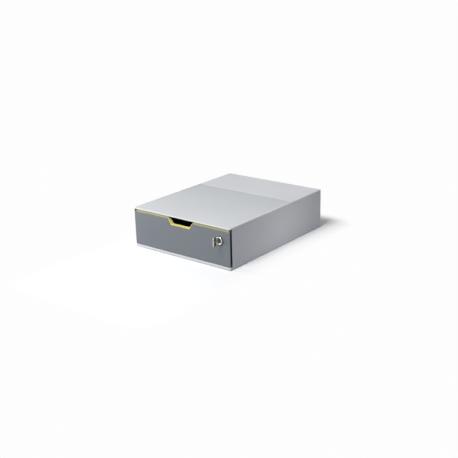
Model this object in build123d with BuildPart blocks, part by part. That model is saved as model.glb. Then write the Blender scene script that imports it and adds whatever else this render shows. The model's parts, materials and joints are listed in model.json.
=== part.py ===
from build123d import *
from math import radians, tan
import os

# A lockable one-drawer desktop file box, in millimetres.
# +Z is up and the drawer front faces -Y. The origin is at the centre of the whole object's
# footprint, key included, on the surface that the feet stand on.

os.makedirs("parts", exist_ok=True)

# ---------------------------------------------------------------------------
# Driving dimensions
# ---------------------------------------------------------------------------
# Housing
width = 280.0               # left to right over the side walls
depth = 356.0               # front edge of the top to the back edges of the walls
height = 95.0               # desk to top face
foot_lift = 1.0             # housing's underside above the desk
side_wall = 3.0
top_wall = 3.0
top_edge_radius = 2.2       # rounded edges where the top turns into the front and the sides
rear_edge_radius = 1.0
front_edge_radius = 0.8     # hem's lower edge and front edges of the side walls
hem_height = 3.4            # front edge of the top, slightly thickened downwards
hem_corner_radius = 3.5     # front corners of the top, seen from above
side_set_back = 8.0         # side walls start this far behind the front plane
top_rim = 4.0               # border left standing beside the sloping top field
top_field_start = 3.0       # field slopes down from this far behind the front plane
top_field_end = 238.0       # front plane to the step across the top
top_field_drop = 0.8        # depth of that step
top_field_corner = 4.0
boss_radius = 3.6
boss_bite = 0.2             # how far a boss runs into the wall beside it
boss_wall_gap = 0.2         # housing cavity to the plates that close it

# Base plate
base_floor = 2.5
lip_height = 5.2            # front lip, from the housing's underside
lip_edge_radius = 1.0
lip_corner_radius = 3.5
floor_rib_width = 2.5
floor_rib_spacing = 84.0
floor_rib_front = 30.0      # ribs start this far behind the front plane
base_screw_end_inset = 44.0 # first and last screw, in from the front and back planes
base_boss_height = 14.0

# Back panel
back_inset = 3.5            # its outer face, in from the back edges of the walls
back_panel_thickness = 2.5
back_field_border = 16.0    # raised field on its outer face
back_field_height = 0.8
back_field_corner = 8.0
back_screw_low = 28.0       # lower row, from the desk
back_screw_drop = 35.0      # upper row, below the top face
back_boss_length = 16.0

# Feet
foot_radius = 7.0
foot_pocket = 0.6           # depth of the round pocket that holds a foot
foot_side_inset = 20.0      # foot centre, in from the side
foot_end_inset = 24.0       # foot centre, in from the front and back
foot_fit = 0.1

# Drawer front
panel_set_back = 1.5        # its face behind the front plane
panel_skin = 2.5
panel_return = 3.5          # full depth of its bottom edge
panel_return_wall = 2.0
panel_side_gap = 0.7        # its side edge in from the housing's side
panel_lip_gap = 0.6         # above the base's front lip
band_show = 6.2             # hem's lower edge to the panel's top, where the trim shows
panel_ear = 2.2             # width of the ears that close the band's ends
panel_edge_radius = 0.9     # upright edges of its face
panel_level_radius = 0.8    # level edges of its face
notch_depth = 12.7          # from the panel's top
notch_half_width = 27.3     # at its bottom
notch_slope = 59.0          # its sides, degrees from level
notch_corner = 2.5

# Coloured trim behind the drawer front
trim_plate = 2.5
trim_hem_gap = 0.5          # below the hem
trim_side_gap = 1.6         # band's ends, in from the panel's side edges
trim_skirt_inset = 5.0      # its lower plate, in from the panel's side edges
trim_band_drop = 8.0        # the wide band reaches this far below the panel's top
trim_bottom_gap = 0.4       # above the panel's bottom return
liner_wall = 1.0
liner_depth = 9.0

# Drawer tray
tray_wall = 2.0
tray_front_wall = 2.5
tray_lip_gap = 0.8          # tray's underside above the base's front lip
tray_top_drop = 3.2         # tray's rim below the panel's top
tray_side_gap = 9.0         # tray's side to the side wall's inner face
tray_front_gap = 3.5        # ends of its front wall to the side walls' inner faces
tray_back_gap = 5.0         # tray's back to the back panel
tray_corner = 5.0
tray_floor_radius = 2.0
flange_thickness = 3.0
flange_web_gap = 0.6        # edge of the flange to the runner's web
stop_nub_length = 6.0
stop_nub_height = 3.2
stop_nub_end = 4.0          # nub's rear face, in from the tray's back
panel_cut_gap = 0.2         # round what passes through the tray's front wall

# Runners
runner_web = 1.8
runner_start = 12.0         # behind the front plane
runner_ledge = 2.8
runner_low_web = 3.3        # web below the ledge
runner_top_gap = 3.0        # below the underside of the top
runner_reach_gap = 1.3      # ledge's inner edge to the tray's side
runner_play = 0.2           # flange above the ledge
guard_play = 0.3            # flange below the guard
guard_thickness = 2.4
stop_play = 0.3             # nub or flange to its stop at either end of the travel
travel = 255.0
runner_end_wall = 2.4
runner_screw_drop = 3.5     # below the runner's upper edge
runner_screw_inset = 18.0   # first and last screw, in from the runner's ends

# Cam lock
lock_side_inset = 28.0      # lock axis, in from the housing's right side
lock_drop = 21.3            # lock axis, below the panel's top
plug_radius = 6.0
plug_fit = 0.05
barrel_wall = 1.95
barrel_flat_cut = 1.25      # depth of each of the barrel's two flats
barrel_end = 22.0           # barrel's rear end behind the front plane
barrel_fit = 0.15
lock_head_overhang = 1.25   # head beyond the barrel
lock_head_length = 5.0
lock_head_land = 1.25       # flat ring round the plug, before the head rounds over
plug_recess = 0.2
plug_square = 7.0
keyway_width = 2.2
keyway_height = 8.0
keyway_end_gap = 0.5
nut_rim = 3.0               # across the flats beyond the barrel
nut_thickness = 4.0
lock_washer_rim = 2.6
lock_washer_thickness = 0.8
washer_teeth = 12
washer_tooth_gap = (2.4, 1.6)
wafer_count = 5
wafer_pitch = 2.8
wafer_first = 1.0           # first wafer behind the front plane
wafer_thickness = 0.6
wafer_size = (6.4, 9.8)
wafer_window = (2.7, 7.9)
wafer_fit = 0.1

# Cam and keeper
cam_thickness = 2.0
cam_tip_gap = 2.1           # cam's tip, turned up, to the keeper's sheet
cam_width = 14.0
cam_tip_width = 10.0
cam_end_gap = 0.3           # barrel's rear end to the cam
cam_square_fit = 0.1
cam_washer_radius = 4.6
cam_washer_thickness = 0.8
keeper_sheet = 1.5
keeper_gap = 1.2            # cam to the keeper's hanging leg
keeper_width = 28.0
keeper_drop = 7.5
keeper_length = 24.0
keeper_screw_spacing = 16.0
keeper_screw_set_back = 16.0

# Key
key_thickness = 1.9
blade_height = 7.4
blade_end = 18.2            # blade's tip behind the front plane
key_shoulder_gap = 0.3      # shoulder to the lock's face
key_reach = 21.2            # bow's front edge, before the front plane
bow_length = 12.0
bow_height = 23.5
bow_corner = 5.2
bow_rise = 1.0              # bow's middle above the lock axis
bow_bar = 3.6
bow_rim = 2.6
bow_pocket = 0.45
neck_height = 9.0
key_cuts = (0.7, 1.3, 0.4, 1.1, 0.8)     # depth of each cut, from the shoulder
key_cut_width = 1.3
key_groove = (0.45, 1.4)    # depth and height of the groove along the blade

# Screws: shank radius, head radius, head height
small_screw = (1.45, 2.8, 1.9)
short_screw = (1.1, 2.3, 1.2)
cam_screw_size = (1.6, 3.5, 2.4)
screw_fit = 0.05
recess_arm = 0.7            # width of a cross recess's arms
recess_reach = 1.3          # their length, in head radii
recess_depth = 0.45         # in head radii
head_rounding = 0.45        # of a pan head, in head heights
point_chamfer = 0.3         # of a screw's end, in shank radii
screw_hole_spare = 0.2      # hole deeper than its screw
overrun = 1.0               # how far a cutter runs past what it cuts
base_screw_length = 11.0
back_screw_length = 11.0
front_screw_length = 6.6
runner_screw_length = 3.9
keeper_screw_length = 3.4
cam_screw_length = 5.6
front_screw_side_inset = 52.0   # outer screws, in from the housing's side
front_screw_rise = 13.2     # lower row, above the panel's bottom
front_screw_drop = 24.5     # upper row, below the panel's top
front_screw_bite_gap = 0.7  # skin left in front of a screw's hole

# ---------------------------------------------------------------------------
# Derived places
# ---------------------------------------------------------------------------
front_y = (key_reach - depth) / 2
inner_half_width = width / 2 - side_wall
inner_top = height - top_wall
hem_bottom = height - hem_height
base_top = foot_lift + base_floor
lip_top = foot_lift + lip_height
plate_half_width = inner_half_width - boss_wall_gap
boss_x = inner_half_width + boss_bite - boss_radius
back_panel_start = depth - back_inset - back_panel_thickness

panel_half_width = width / 2 - panel_side_gap
panel_bottom = lip_top + panel_lip_gap
panel_top = hem_bottom - band_show
notch_bottom = panel_top - notch_depth
panel_skin_end = panel_set_back + panel_skin
trim_end = panel_skin_end + trim_plate
trim_top = hem_bottom - trim_hem_gap
tray_front_end = trim_end + tray_front_wall
tray_bottom = lip_top + tray_lip_gap
tray_top = panel_top - tray_top_drop
tray_half_width = inner_half_width - tray_side_gap
tray_back = back_panel_start - tray_back_gap
flange_bottom = tray_top - flange_thickness
flange_edge = inner_half_width - runner_web - flange_web_gap
nub_front = tray_back - stop_nub_end - stop_nub_length

web_face = inner_half_width - runner_web
ledge_edge = tray_half_width + runner_reach_gap
ledge_top = flange_bottom - runner_play
ledge_bottom = ledge_top - runner_ledge
guard_bottom = tray_top + guard_play
guard_end = nub_front - travel - stop_play
runner_end = tray_back + stop_play + runner_end_wall
runner_top = inner_top - runner_top_gap

lock_right = width / 2 - lock_side_inset
lock_height = panel_top - lock_drop
barrel_radius = plug_radius + plug_fit + barrel_wall
barrel_flats = 2 * (barrel_radius - barrel_flat_cut)
lock_head_radius = barrel_radius + lock_head_overhang
lock_washer_radius = barrel_radius + lock_washer_rim
head_face = panel_set_back - lock_head_length
cam_start = barrel_end + cam_end_gap
cam_end = cam_start + cam_thickness
cam_reach = inner_top - keeper_sheet - cam_tip_gap - lock_height
keeper_leg_end = cam_start - keeper_gap
shoulder = head_face - key_shoulder_gap


# ---------------------------------------------------------------------------
# Helpers
# ---------------------------------------------------------------------------
def behind(distance):
    """Y of the plane that lies this far behind the front plane."""
    return front_y + distance


def facing_front(distance):
    """Sketch plane parallel to the front: local x is X, local y is Z; minus extrudes backwards."""
    return Plane(origin=(0, behind(distance), 0), x_dir=(1, 0, 0), z_dir=(0, -1, 0))


def facing_side(x):
    """Sketch plane parallel to the sides: local x is Y, local y is Z; plus extrudes towards +X."""
    return Plane(origin=(x, 0, 0), x_dir=(0, 1, 0), z_dir=(1, 0, 0))


def block(x, y, z, mode=Mode.ADD):
    """A box between the given pairs of X, Y and Z limits."""
    with Locations(((x[0] + x[1]) / 2, (y[0] + y[1]) / 2, (z[0] + z[1]) / 2)):
        Box(abs(x[1] - x[0]), abs(y[1] - y[0]), abs(z[1] - z[0]), mode=mode)


def depth_cylinder(x, z, radius, start, end, mode=Mode.ADD):
    """A cylinder along the depth, between two distances behind the front plane."""
    with Locations(pointing(x, behind(start), z, (0, 1, 0))):
        Cylinder(radius, end - start, align=(Align.CENTER, Align.CENTER, Align.MIN), mode=mode)


def notch_outline(grow):
    """Finger notch as a trapezoid open at the top, grown all round from the panel's cut edge."""
    top_half_width = notch_half_width + (height - notch_bottom) / tan(radians(notch_slope))
    with BuildSketch() as outline:
        with BuildLine():
            Polyline(
                (-top_half_width, height),
                (-notch_half_width, notch_bottom),
                (notch_half_width, notch_bottom),
                (top_half_width, height),
                close=True,
            )
        make_face()
        low_corners = outline.vertices().group_by(Axis.Y)[0]
        fillet(low_corners, radius=notch_corner)
        if grow:
            offset(amount=grow, kind=Kind.ARC)
    return outline.sketch


def double_d(radius, flats):
    """Round outline with a flat above and below."""
    with BuildSketch() as outline:
        Circle(radius)
        Rectangle(2 * radius, flats, mode=Mode.INTERSECT)
    return outline.sketch


def cut_recess(top, size):
    """Cross recess sunk into a screw head whose face is at the given height."""
    for turn in (0, 90):
        with Locations(Location((0, 0, top), (0, 0, turn))):
            Box(recess_reach * size, recess_arm, 2 * recess_depth * size, mode=Mode.SUBTRACT)


def pan_screw(screw, length):
    """Pan-head screw that points to +Z, with the underside of its head at the origin."""
    shank_radius, head_radius, head_height = screw
    with BuildPart() as piece:
        with Locations((0, 0, -head_height)):
            Cylinder(head_radius, head_height, align=(Align.CENTER, Align.CENTER, Align.MIN))
        fillet(piece.edges().group_by(Axis.Z)[0], radius=head_rounding * head_height)
        Cylinder(shank_radius - screw_fit, length, align=(Align.CENTER, Align.CENTER, Align.MIN))
        chamfer(piece.edges().group_by(Axis.Z)[-1], length=point_chamfer * shank_radius)
        cut_recess(-head_height, head_radius)
    return piece.part


def flat_screw(screw, length):
    """Countersunk screw that points to +Z, with its flat head face at the origin."""
    shank_radius, head_radius, head_height = screw
    with BuildPart() as piece:
        Cone(head_radius - screw_fit, shank_radius - screw_fit, head_height,
             align=(Align.CENTER, Align.CENTER, Align.MIN))
        Cylinder(shank_radius - screw_fit, length, align=(Align.CENTER, Align.CENTER, Align.MIN))
        chamfer(piece.edges().group_by(Axis.Z)[-1], length=point_chamfer * shank_radius)
        cut_recess(0, head_radius)
    return piece.part


def flat_screw_seat(screw):
    """Cutter for a countersunk screw: its cone and clearance hole, pointing to +Z."""
    shank_radius, head_radius, head_height = screw
    with BuildPart() as cutter:
        Cone(head_radius, shank_radius, head_height, align=(Align.CENTER, Align.CENTER, Align.MIN))
        Cylinder(shank_radius, 3 * head_height, align=(Align.CENTER, Align.CENTER, Align.MIN))
    return cutter.part


def pointing(x, y, z, direction):
    """Location at a point, with its +Z turned to the given direction."""
    return Plane(origin=(x, y, z), z_dir=direction).location


# Screw places
base_screw_depths = (base_screw_end_inset, depth / 2, depth - base_screw_end_inset)
base_screw_places = [
    pointing(side * boss_x, behind(d), foot_lift, (0, 0, 1))
    for side in (-1, 1) for d in base_screw_depths
]
back_screw_heights = (back_screw_low, height - back_screw_drop)
back_screw_places = [
    pointing(side * boss_x, behind(back_panel_start + back_panel_thickness), z, (0, -1, 0))
    for side in (-1, 1) for z in back_screw_heights
]
front_screw_right = width / 2 - front_screw_side_inset
front_screw_points = [(0, (panel_bottom + notch_bottom) / 2)] + [
    (side * front_screw_right, z)
    for side in (-1, 1)
    for z in (panel_bottom + front_screw_rise, panel_top - front_screw_drop)
]
keeper_hole_y = behind(keeper_leg_end - keeper_sheet + keeper_screw_set_back)
keeper_screw_places = [
    pointing(lock_right + side * keeper_screw_spacing / 2, keeper_hole_y,
             inner_top - keeper_sheet, (0, 0, 1))
    for side in (-1, 1)
]


def runner_screw_places(side):
    """Places of one runner's screws, which point outwards into the side wall."""
    first = runner_start + runner_screw_inset
    last = runner_end - runner_screw_inset
    return [pointing(side * web_face, behind(d), runner_top - runner_screw_drop, (side, 0, 0))
            for d in (first, (first + last) / 2, last)]


# ---------------------------------------------------------------------------
# Housing
# ---------------------------------------------------------------------------
top_field_length = top_field_end - top_field_start
# plane of the top field: level with the top near the front edge, sunk at the step
sloping_top = Plane(
    origin=(0, behind(top_field_start), height),
    x_dir=(1, 0, 0),
    z_dir=(0, top_field_drop, top_field_length),
)


with BuildPart() as housing_cover:
    block((-width / 2, width / 2), (front_y, behind(depth)), (foot_lift, height))
    fillet(housing_cover.edges().filter_by(Axis.Z).group_by(Axis.Y)[0], radius=hem_corner_radius)
    top_edges = housing_cover.faces().sort_by(Axis.Z)[-1].edges().sort_by(Axis.Y)[:-1]
    fillet(top_edges, radius=top_edge_radius)
    rear_edges = housing_cover.faces().sort_by(Axis.Y)[-1].edges().group_by(Axis.Z)[1:]
    fillet([edge for group in rear_edges for edge in group], radius=rear_edge_radius)
    # inside of the channel, then everything in front of the side walls but the hem
    block((-inner_half_width, inner_half_width), (behind(side_set_back), behind(depth)),
          (0, inner_top), mode=Mode.SUBTRACT)
    block((-width, width), (behind(-overrun), behind(side_set_back)), (0, hem_bottom),
          mode=Mode.SUBTRACT)
    fillet(housing_cover.faces().sort_by(Axis.Y)[0].edges().sort_by(Axis.Z)[0], radius=front_edge_radius)
    wall_fronts = housing_cover.faces().filter_by(Axis.Y).group_by(Axis.Y)[1]
    uprights = ShapeList([edge for face in wall_fronts for edge in face.edges()]).filter_by(Axis.Z)
    outer_uprights = [edge for edge in uprights if abs(edge.center().X) > inner_half_width + overrun]
    fillet(outer_uprights, radius=front_edge_radius)
    # sloping field of the top, which ends in a step
    with BuildSketch(sloping_top):
        fore = 2 * top_field_corner
        with Locations((0, (top_field_length - fore) / 2)):
            RectangleRounded(width - 2 * top_rim, top_field_length + fore, top_field_corner)
    extrude(amount=2 * top_field_drop, mode=Mode.SUBTRACT)
    # bosses for the base screws and the back screws
    with BuildSketch(Plane.XY.offset(base_top)):
        with Locations([(side * boss_x, behind(d)) for side in (-1, 1) for d in base_screw_depths]):
            Circle(boss_radius)
    extrude(amount=base_boss_height)
    with BuildSketch(facing_front(back_panel_start - back_boss_length)):
        with Locations([(side * boss_x, z) for side in (-1, 1) for z in back_screw_heights]):
            Circle(boss_radius)
    extrude(amount=-back_boss_length)
    # pilot holes for every screw that bites into the cover
    with Locations(base_screw_places):
        Cylinder(small_screw[0], base_screw_length + screw_hole_spare, mode=Mode.SUBTRACT,
                 align=(Align.CENTER, Align.CENTER, Align.MIN))
    with Locations(back_screw_places):
        Cylinder(small_screw[0], back_screw_length + screw_hole_spare, mode=Mode.SUBTRACT,
                 align=(Align.CENTER, Align.CENTER, Align.MIN))
    for side in (-1, 1):
        with Locations(runner_screw_places(side)):
            Cylinder(short_screw[0], runner_screw_length + screw_hole_spare, mode=Mode.SUBTRACT,
                     align=(Align.CENTER, Align.CENTER, Align.MIN))
    with Locations(keeper_screw_places):
        Cylinder(short_screw[0], keeper_screw_length + screw_hole_spare, mode=Mode.SUBTRACT,
                 align=(Align.CENTER, Align.CENTER, Align.MIN))
housing_cover.part.label = "housing_cover"
export_step(housing_cover.part, "parts/housing_cover.step")

foot_x = width / 2 - foot_side_inset
foot_depths = {"front": foot_end_inset, "back": depth - foot_end_inset}

with BuildPart() as base_plate:
    # floor between the side walls, with the full-width lip before them
    plate_end = back_panel_start + back_panel_thickness
    block((-plate_half_width, plate_half_width), (behind(side_set_back - overrun), behind(plate_end)),
          (foot_lift, base_top))
    with BuildSketch(Plane.XY.offset(foot_lift)) as lip_outline:
        with Locations((0, behind((side_set_back - boss_wall_gap) / 2))):
            Rectangle(width, side_set_back - boss_wall_gap)
        fillet(lip_outline.vertices().group_by(Axis.Y)[0], radius=lip_corner_radius)
    extrude(amount=lip_height)
    front_top_edges = base_plate.faces().sort_by(Axis.Z)[-1].edges().group_by(Axis.Y)[0]
    fillet(front_top_edges, radius=lip_edge_radius)
    # stiffening ribs below the tray
    for column in (-1, 0, 1):
        rib_x = column * floor_rib_spacing
        block((rib_x - floor_rib_width / 2, rib_x + floor_rib_width / 2),
              (behind(floor_rib_front), behind(back_panel_start - floor_rib_front)),
              (base_top, lip_top))
    # round pockets for the feet and countersunk holes for the screws
    with Locations([(side * foot_x, behind(d), foot_lift)
                    for side in (-1, 1) for d in foot_depths.values()]):
        Cylinder(foot_radius + foot_fit, 2 * foot_pocket, mode=Mode.SUBTRACT)
    with Locations(base_screw_places):
        add(flat_screw_seat(small_screw), mode=Mode.SUBTRACT)
base_plate.part.label = "base_plate"
export_step(base_plate.part, "parts/base_plate.step")

for side_name, side in (("left", -1), ("right", 1)):
    for end_name, foot_depth in foot_depths.items():
        with BuildPart() as foot:
            with Locations((side * foot_x, behind(foot_depth), 0)):
                Cylinder(foot_radius, foot_lift + foot_pocket,
                         align=(Align.CENTER, Align.CENTER, Align.MIN))
            fillet(foot.edges().group_by(Axis.Z)[0], radius=foot_lift / 2)
        foot.part.label = f"foot_{end_name}_{side_name}"
        export_step(foot.part, f"parts/foot_{end_name}_{side_name}.step")

with BuildPart() as back_panel:
    panel_low = base_top + boss_wall_gap
    panel_high = inner_top - boss_wall_gap
    with BuildSketch(facing_front(back_panel_start)):
        with Locations((0, (panel_low + panel_high) / 2)):
            Rectangle(2 * plate_half_width, panel_high - panel_low)
    extrude(amount=-back_panel_thickness)
    # raised field on the outer face
    with BuildSketch(facing_front(back_panel_start + back_panel_thickness)):
        with Locations((0, (panel_low + panel_high) / 2)):
            RectangleRounded(2 * (plate_half_width - back_field_border),
                             panel_high - panel_low - 2 * back_field_border, back_field_corner)
    extrude(amount=-back_field_height)
    with Locations(back_screw_places):
        Cylinder(small_screw[0] + screw_fit, 2 * back_panel_thickness, mode=Mode.SUBTRACT)
back_panel.part.label = "back_panel"
export_step(back_panel.part, "parts/back_panel.step")

for side_name, side in (("left", -1), ("right", 1)):
    with BuildPart() as runner:
        runner_y = (behind(runner_start), behind(runner_end))
        block((side * web_face, side * inner_half_width), runner_y,
              (ledge_bottom - runner_low_web, runner_top))
        block((side * ledge_edge, side * web_face), runner_y, (ledge_bottom, ledge_top))
        # guard over the flange at the front, which is also the stop for the open drawer
        block((side * ledge_edge, side * web_face), (behind(runner_start), behind(guard_end)),
              (guard_bottom, guard_bottom + guard_thickness))
        # end wall that stops the closed drawer
        block((side * ledge_edge, side * web_face),
              (behind(runner_end - runner_end_wall), behind(runner_end)),
              (ledge_top, guard_bottom + guard_thickness))
        with Locations(runner_screw_places(side)):
            add(flat_screw_seat(short_screw), mode=Mode.SUBTRACT)
    runner.part.label = f"runner_{side_name}"
    export_step(runner.part, f"parts/runner_{side_name}.step")

with BuildPart() as lock_keeper:
    # folded steel angle under the top: the cam stands up behind its hanging leg
    keeper_front = keeper_leg_end - keeper_sheet
    keeper_x = (lock_right - keeper_width / 2, lock_right + keeper_width / 2)
    with BuildSketch(facing_side(keeper_x[0])) as angle_profile:
        with BuildLine():
            Polyline(
                (behind(keeper_front), inner_top - keeper_drop),
                (behind(keeper_front), inner_top),
                (behind(keeper_front + keeper_length), inner_top),
                (behind(keeper_front + keeper_length), inner_top - keeper_sheet),
                (behind(keeper_leg_end), inner_top - keeper_sheet),
                (behind(keeper_leg_end), inner_top - keeper_drop),
                close=True,
            )
        make_face()
        fold = angle_profile.vertices().group_by(Axis.Y)[-1].sort_by(Axis.X)[0]
        fillet(fold, radius=keeper_sheet)
    extrude(amount=keeper_width)
    with Locations(keeper_screw_places):
        Cylinder(short_screw[0] + screw_fit, 4 * keeper_sheet, mode=Mode.SUBTRACT)
lock_keeper.part.label = "lock_keeper"
export_step(lock_keeper.part, "parts/lock_keeper.step")


# ---------------------------------------------------------------------------
# Drawer
# ---------------------------------------------------------------------------
with BuildPart() as tray_pocket:
    # the room inside the tray, rounded where a moulded tray is
    pocket_start = tray_front_end
    pocket_length = tray_back - tray_wall - pocket_start
    with BuildSketch(Plane.XY.offset(tray_bottom + tray_wall)):
        with Locations((0, behind(pocket_start + pocket_length / 2))):
            RectangleRounded(2 * (tray_half_width - tray_wall), pocket_length, tray_corner - tray_wall)
    extrude(amount=height)
    fillet(tray_pocket.faces().sort_by(Axis.Z)[0].edges(), radius=tray_floor_radius)

with BuildPart() as drawer_tray:
    block((-tray_half_width, tray_half_width), (behind(trim_end), behind(tray_back)),
          (tray_bottom, tray_top))
    rear_corners = drawer_tray.edges().filter_by(Axis.Z).group_by(Axis.Y)[-1]
    fillet(rear_corners, radius=tray_corner)
    # wide front wall, and the flanges that ride in the runners
    front_half_width = inner_half_width - tray_front_gap
    block((-front_half_width, front_half_width), (behind(trim_end), behind(tray_front_end)),
          (tray_bottom, tray_top))
    for side in (-1, 1):
        block((side * (tray_half_width - tray_wall), side * flange_edge),
              (behind(runner_start), behind(tray_back)), (flange_bottom, tray_top))
        block((side * (ledge_edge + guard_play), side * flange_edge),
              (behind(nub_front), behind(nub_front + stop_nub_length)),
              (tray_top, tray_top + stop_nub_height))
    add(tray_pocket.part, mode=Mode.SUBTRACT)
    # finger notch, lock hole and screw holes through the front wall
    with BuildSketch(facing_front(trim_end)):
        add(notch_outline(panel_cut_gap))
    extrude(amount=-tray_front_wall, mode=Mode.SUBTRACT)
    with BuildSketch(facing_front(trim_end)):
        with Locations((lock_right, lock_height)):
            add(double_d(barrel_radius + barrel_fit, barrel_flats + 2 * barrel_fit))
    extrude(amount=-tray_front_wall, mode=Mode.SUBTRACT)
    for x, z in front_screw_points:
        depth_cylinder(x, z, small_screw[0] + screw_fit, trim_end, tray_front_end,
                       mode=Mode.SUBTRACT)
drawer_tray.part.label = "drawer_tray"
export_step(drawer_tray.part, "parts/drawer_tray.step")

front_hole_end = panel_set_back + front_screw_bite_gap

with BuildPart() as drawer_front:
    panel_y = (behind(panel_set_back), behind(panel_set_back + panel_return))
    block((-panel_half_width, panel_half_width), panel_y, (panel_bottom, trim_top))
    side_edges = drawer_front.faces().sort_by(Axis.Y)[0].edges().filter_by(Axis.Z)
    fillet(side_edges, radius=panel_edge_radius)
    # the band shows above the panel, between two ears
    block((-panel_half_width + panel_ear, panel_half_width - panel_ear), panel_y,
          (panel_top, height), mode=Mode.SUBTRACT)
    level_edges = drawer_front.faces().sort_by(Axis.Y)[0].edges().filter_by(Axis.X)
    fillet(level_edges, radius=panel_level_radius)
    # only the bottom edge is deeper than the skin
    block((-width, width), (behind(panel_skin_end), behind(panel_set_back + panel_return)),
          (panel_bottom + panel_return_wall, height), mode=Mode.SUBTRACT)
    with BuildSketch(facing_front(panel_set_back)):
        add(notch_outline(0))
    extrude(amount=-panel_return, mode=Mode.SUBTRACT)
    with BuildSketch(facing_front(panel_set_back)):
        with Locations((lock_right, lock_height)):
            add(double_d(barrel_radius + barrel_fit, barrel_flats + 2 * barrel_fit))
    extrude(amount=-panel_skin, mode=Mode.SUBTRACT)
    for x, z in front_screw_points:
        depth_cylinder(x, z, small_screw[0], front_hole_end, panel_skin_end, mode=Mode.SUBTRACT)
drawer_front.part.label = "drawer_front"
export_step(drawer_front.part, "parts/drawer_front.step")

with BuildPart() as colour_trim:
    # plate behind the drawer front: a narrow skirt and the wide band that shows above it
    skirt_half_width = panel_half_width - trim_skirt_inset
    band_half_width = panel_half_width - trim_side_gap
    skirt_bottom = panel_bottom + panel_return_wall + trim_bottom_gap
    block((-skirt_half_width, skirt_half_width), (behind(panel_skin_end), behind(trim_end)),
          (skirt_bottom, trim_top))
    block((-band_half_width, band_half_width), (behind(panel_skin_end), behind(trim_end)),
          (panel_top - trim_band_drop, trim_top))
    # liner of the finger notch, from the panel's face into the tray
    with BuildSketch(facing_front(panel_set_back)):
        add(notch_outline(0))
        with Locations((0, panel_top / 2)):
            Rectangle(width, panel_top, mode=Mode.INTERSECT)
    extrude(amount=-panel_skin)
    with BuildSketch(facing_front(trim_end)):
        add(notch_outline(0))
        with Locations((0, trim_top / 2)):
            Rectangle(width, trim_top, mode=Mode.INTERSECT)
    extrude(amount=trim_end - panel_set_back - liner_depth)
    with BuildSketch(facing_front(panel_set_back)):
        add(notch_outline(-liner_wall))
    extrude(amount=-2 * liner_depth, mode=Mode.SUBTRACT)
    depth_cylinder(lock_right, lock_height, barrel_radius + barrel_fit, panel_skin_end, trim_end,
                   mode=Mode.SUBTRACT)
    for x, z in front_screw_points:
        depth_cylinder(x, z, small_screw[0] + screw_fit, panel_skin_end, trim_end,
                       mode=Mode.SUBTRACT)
colour_trim.part.label = "colour_trim"
export_step(colour_trim.part, "parts/colour_trim.step")


# ---------------------------------------------------------------------------
# Cam lock and key
# ---------------------------------------------------------------------------
lock_axis = Axis((lock_right, 0, lock_height), (0, 1, 0))

with BuildPart() as lock_body:
    # head and barrel as one turned shape
    with BuildSketch(Plane.XY.offset(lock_height)):
        with BuildLine():
            bore = lock_right + plug_radius + plug_fit
            start = (bore, behind(head_face))
            rounding_start = (bore + lock_head_land, behind(head_face))
            rounding = lock_right + lock_head_radius - bore - lock_head_land
            rounding_end = (lock_right + lock_head_radius, behind(head_face + rounding))
            Line(start, rounding_start)
            TangentArc(rounding_start, rounding_end, tangent=(1, 0))
            Polyline(
                rounding_end,
                (lock_right + lock_head_radius, behind(panel_set_back)),
                (lock_right + barrel_radius, behind(panel_set_back)),
                (lock_right + barrel_radius, behind(barrel_end)),
                (bore, behind(barrel_end)),
                start,
            )
        make_face()
    revolve(axis=lock_axis)
    # two flats keep the barrel from turning in the drawer front
    for side in (-1, 1):
        block((lock_right - barrel_radius, lock_right + barrel_radius),
              (behind(panel_set_back), behind(barrel_end)),
              (lock_height + side * barrel_flats / 2, lock_height + side * (barrel_radius + overrun)),
              mode=Mode.SUBTRACT)
lock_body.part.label = "lock_body"
export_step(lock_body.part, "parts/lock_body.step")

washer_end = tray_front_end + lock_washer_thickness

with BuildPart() as lock_washer:
    with BuildSketch(facing_front(tray_front_end)):
        with Locations((lock_right, lock_height)):
            Circle(lock_washer_radius)
            with PolarLocations(lock_washer_radius, washer_teeth):
                Rectangle(*washer_tooth_gap, mode=Mode.SUBTRACT)
            Circle(barrel_radius + screw_fit, mode=Mode.SUBTRACT)
    extrude(amount=-lock_washer_thickness)
lock_washer.part.label = "lock_washer"
export_step(lock_washer.part, "parts/lock_washer.step")

with BuildPart() as lock_nut:
    with BuildSketch(facing_front(washer_end)):
        with Locations((lock_right, lock_height)):
            RegularPolygon(barrel_radius + nut_rim, 6, major_radius=False)
    extrude(amount=-nut_thickness)
    depth_cylinder(lock_right, lock_height, barrel_radius + screw_fit, washer_end,
                   washer_end + nut_thickness, mode=Mode.SUBTRACT)
lock_nut.part.label = "lock_nut"
export_step(lock_nut.part, "parts/lock_nut.step")

wafer_depths = [wafer_first + i * wafer_pitch for i in range(wafer_count)]
keyway_end = blade_end + keyway_end_gap
square_end = cam_end - cam_square_fit

with BuildPart() as lock_plug:
    depth_cylinder(lock_right, lock_height, plug_radius, head_face + plug_recess, barrel_end)
    with BuildSketch(facing_front(barrel_end)):
        with Locations((lock_right, lock_height)):
            Rectangle(plug_square, plug_square)
    extrude(amount=barrel_end - square_end)
    # keyway, wafer slots and the cam screw's hole
    with BuildSketch(facing_front(head_face)):
        with Locations((lock_right, lock_height)):
            Rectangle(keyway_width, keyway_height)
    extrude(amount=head_face - keyway_end, mode=Mode.SUBTRACT)
    for wafer_depth in wafer_depths:
        slot_half_width = wafer_size[0] / 2 + wafer_fit
        block((lock_right - slot_half_width, lock_right + slot_half_width),
              (behind(wafer_depth - wafer_fit), behind(wafer_depth + wafer_thickness + wafer_fit)),
              (lock_height - plug_radius, lock_height + plug_radius), mode=Mode.SUBTRACT)
    cam_screw_hole_start = cam_end + cam_washer_thickness - cam_screw_length - screw_hole_spare
    depth_cylinder(lock_right, lock_height, cam_screw_size[0], cam_screw_hole_start, square_end,
                   mode=Mode.SUBTRACT)
lock_plug.part.label = "lock_plug"
export_step(lock_plug.part, "parts/lock_plug.step")

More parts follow.
